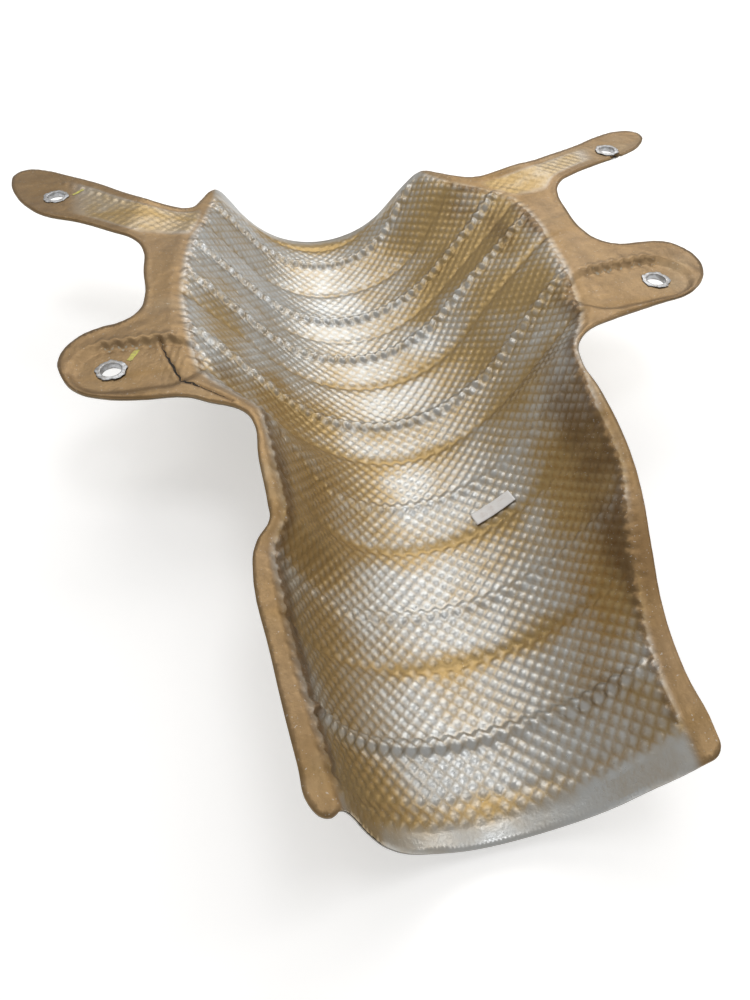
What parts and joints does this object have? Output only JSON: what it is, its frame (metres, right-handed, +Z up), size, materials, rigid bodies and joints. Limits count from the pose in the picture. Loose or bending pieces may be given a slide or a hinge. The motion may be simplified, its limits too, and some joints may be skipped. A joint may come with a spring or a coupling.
{
  "type": "exhaust heat shield",
  "caption": "Embossed sheet-metal exhaust heat shield: a ribbed half-round channel with side flanges and mounting ears with clinched eyelets.",
  "frame": {"origin": "middle of the footprint, level with the lowest point of the outer skin, with the channel opening upwards", "axes": "+X across the channel, +Y along the channel towards the two long arms, +Z up out of the open channel"},
  "size_m": [0.4118, 0.4468, 0.0676],
  "materials": {
    "inner_sheet": "embossed bright sheet with golden heat tint and brown stains",
    "outer_sheet": "embossed dull sheet with light tint",
    "fibre_mat": "matt white fibre",
    "eyelet_steel": "worn bright steel",
    "washer_steel": "plain steel",
    "label_paper": "blank satin label"
  },
  "bodies": {
    "root": {"inner_skin": "inner_sheet", "outer_skin": "outer_sheet", "insulation_mat": "fibre_mat", "eyelet_rear_left": "eyelet_steel", "eyelet_rear_right": "eyelet_steel", "eyelet_front_left": "eyelet_steel", "eyelet_front_right": "eyelet_steel", "eyelet_washer_rear_left": "washer_steel", "eyelet_washer_rear_right": "washer_steel", "eyelet_washer_front_left": "washer_steel", "eyelet_washer_front_right": "washer_steel", "label": "label_paper"}
  },
  "joints": []
}
